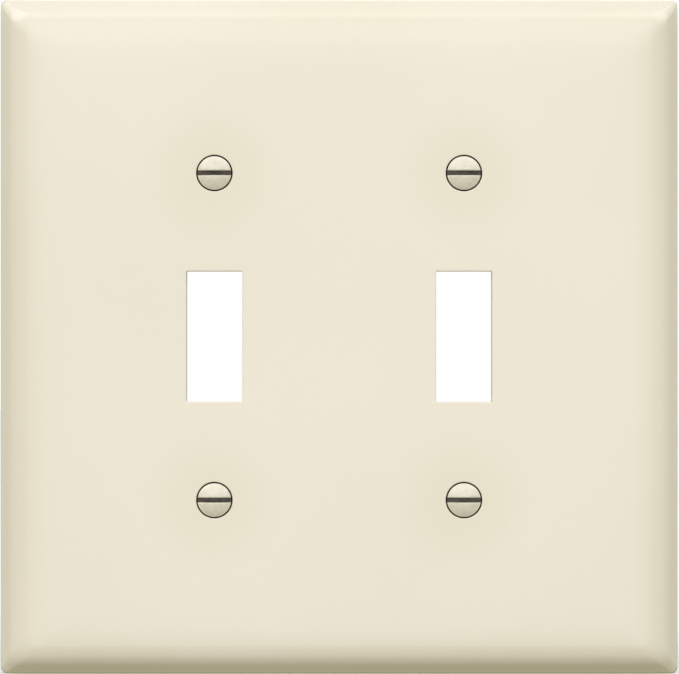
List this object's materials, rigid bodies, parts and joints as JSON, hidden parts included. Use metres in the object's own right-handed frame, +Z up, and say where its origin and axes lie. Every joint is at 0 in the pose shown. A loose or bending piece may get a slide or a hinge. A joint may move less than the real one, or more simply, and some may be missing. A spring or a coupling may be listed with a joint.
{
  "type": "toggle switch wall plate",
  "caption": "Square light-almond moulded wall plate with rolled edges, toggle openings and slotted oval-head screws painted to match.",
  "frame": {"origin": "centre of the rim that rests on the wall, in the plane of the wall", "axes": "+Y into the wall, +X to the right as seen from the room, +Z up; the face looks along -Y"},
  "size_m": [0.1254, 0.0135, 0.1248],
  "materials": {
    "plate": "moulded polycarbonate, light almond, glossy",
    "screws": "zinc-plated steel with the head enamelled to match the plate"
  },
  "bodies": {
    "plate": {"wall_plate": "plate"},
    "screw_upper_left": {"screw_upper_left": "screws"},
    "screw_upper_right": {"screw_upper_right": "screws"},
    "screw_lower_left": {"screw_lower_left": "screws"},
    "screw_lower_right": {"screw_lower_right": "screws"}
  },
  "joints": [
    {"name": "screw_upper_left_turn", "type": "hinge", "parent": "plate", "child": "screw_upper_left", "pos_m": [-0.02302, -0.00635, 0.03017], "axis": [0, 1, 0], "continuous": true},
    {"name": "screw_upper_right_turn", "type": "hinge", "parent": "plate", "child": "screw_upper_right", "pos_m": [0.02302, -0.00635, 0.03017], "axis": [0, 1, 0], "continuous": true},
    {"name": "screw_lower_left_turn", "type": "hinge", "parent": "plate", "child": "screw_lower_left", "pos_m": [-0.02302, -0.00635, -0.03017], "axis": [0, 1, 0], "continuous": true},
    {"name": "screw_lower_right_turn", "type": "hinge", "parent": "plate", "child": "screw_lower_right", "pos_m": [0.02302, -0.00635, -0.03017], "axis": [0, 1, 0], "continuous": true}
  ]
}
